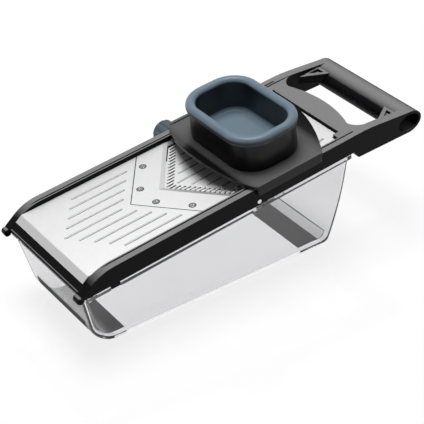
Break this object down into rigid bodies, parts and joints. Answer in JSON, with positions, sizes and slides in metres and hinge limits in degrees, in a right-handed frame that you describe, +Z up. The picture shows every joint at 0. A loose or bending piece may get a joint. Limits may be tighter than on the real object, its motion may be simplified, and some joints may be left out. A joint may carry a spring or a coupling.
{
  "type": "mandoline slicer",
  "caption": "Mandoline slicer with a sloping steel deck, V blade and julienne combs, a food holder with round pusher, and a clear catch container.",
  "frame": {"origin": "middle of the container underside, on the table", "axes": "+X along the slicer towards the handle, +Y to the knob side, +Z up"},
  "size_m": [0.3569, 0.1434, 0.1455],
  "materials": {
    "clear_plastic": "clear, polished",
    "black_plastic": "fine matte grain",
    "black_gloss": "polished",
    "steel": "finely brushed",
    "bright_steel": "bright",
    "soft_blue": "soft touch",
    "soft_dark": "soft touch",
    "soft_black": "soft touch"
  },
  "bodies": {
    "base": {"container": "clear_plastic", "front_foot": "soft_dark", "rear_foot": "soft_dark"},
    "slicer": {"frame": "black_plastic", "front_bead": "soft_black", "outfeed_plate": "steel", "hinge_rod": "bright_steel", "blade_carrier": "black_plastic", "v_blade": "steel", "blade_screws": "bright_steel", "comb_far": "steel", "comb_near": "steel"},
    "ramp": {"ramp_carrier": "black_plastic", "infeed_plate": "steel"},
    "adjuster": {"adjuster_shaft": "bright_steel", "cam_far": "black_plastic", "cam_near": "black_plastic", "adjuster_knob": "soft_blue", "knob_washer": "soft_black", "shaft_clip": "bright_steel"},
    "holder": {"holder_base": "black_gloss"},
    "pusher": {"pusher_cup": "soft_blue", "pin_plate": "bright_steel", "food_pins": "bright_steel"}
  },
  "joints": [
    {"name": "frame_lift", "type": "slide", "parent": "base", "child": "slicer", "axis": [0, 0, 1], "range_m": [0, 0.05]},
    {"name": "holder_slide", "type": "slide", "parent": "slicer", "child": "holder", "axis": [0.993, 0, 0.1184], "range_m": [-0.125, 0.03]},
    {"name": "pusher_slide", "type": "slide", "parent": "holder", "child": "pusher", "axis": [-0.1184, 0, 0.993], "range_m": [0, 0.045]},
    {"name": "knob_turn", "type": "hinge", "parent": "slicer", "child": "adjuster", "pos_m": [0.02693, 0, 0.08794], "axis": [0, 1, 0], "range_deg": [-90, 90]},
    {"name": "ramp_tilt", "type": "hinge", "parent": "slicer", "child": "ramp", "pos_m": [0.12011, 0, 0.10377], "axis": [0, 1, 0], "range_deg": [-1.08, 1.08]}
  ],
  "couplings": [
    {"joint": "ramp_tilt", "follows": "knob_turn", "ratio": 0.012044}
  ]
}
